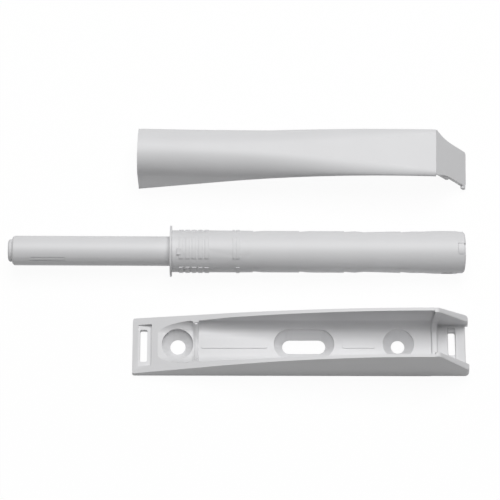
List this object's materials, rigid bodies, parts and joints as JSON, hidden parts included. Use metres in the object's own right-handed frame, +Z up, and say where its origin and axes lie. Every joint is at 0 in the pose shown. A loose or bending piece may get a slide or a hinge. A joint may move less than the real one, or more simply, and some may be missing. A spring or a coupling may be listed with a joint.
{
  "type": "touch latch",
  "caption": "Push-to-open touch latch in pale plastic: a round barrel with a long sliding plunger, beside its screw-on trough adapter and the adapter's cover.",
  "frame": {"origin": "centre of the bounding box at the height of the surface the three pieces lie on", "axes": "+X along the pieces from the plunger's tip to the rear, +Y from the adapter across the latch unit to the cover, +Z up"},
  "size_m": [0.1095, 0.0599, 0.0135],
  "materials": {
    "shell": "fine matt texture, pale grey",
    "insert": "satin pale grey",
    "soft_tip": "soft matt pale grey",
    "spring_steel": "drawn wire"
  },
  "bodies": {
    "latch_set": {"adapter_base": "shell", "adapter_cover": "shell", "barrel": "shell", "end_cap": "insert", "cam_bar": "insert", "main_spring": "spring_steel"},
    "plunger_unit": {"plunger": "shell", "bumper_tip": "soft_tip", "pin_carrier": "insert"},
    "pin": {"latch_pin": "spring_steel"}
  },
  "joints": [
    {"name": "plunger_slide", "type": "slide", "parent": "latch_set", "child": "plunger_unit", "axis": [0.9999, 0, -0.0144], "range_m": [0, 0.03635], "stiffness_N_per_m": 135, "springref_m": -0.022, "deforming": ["main_spring"]},
    {"name": "pin_swing", "type": "hinge", "parent": "plunger_unit", "child": "pin", "pos_m": [0.00481, -0.00066, 0.00748], "axis": [0.0143, -0.1219, 0.9924], "range_deg": [-13.9, 0]}
  ]
}
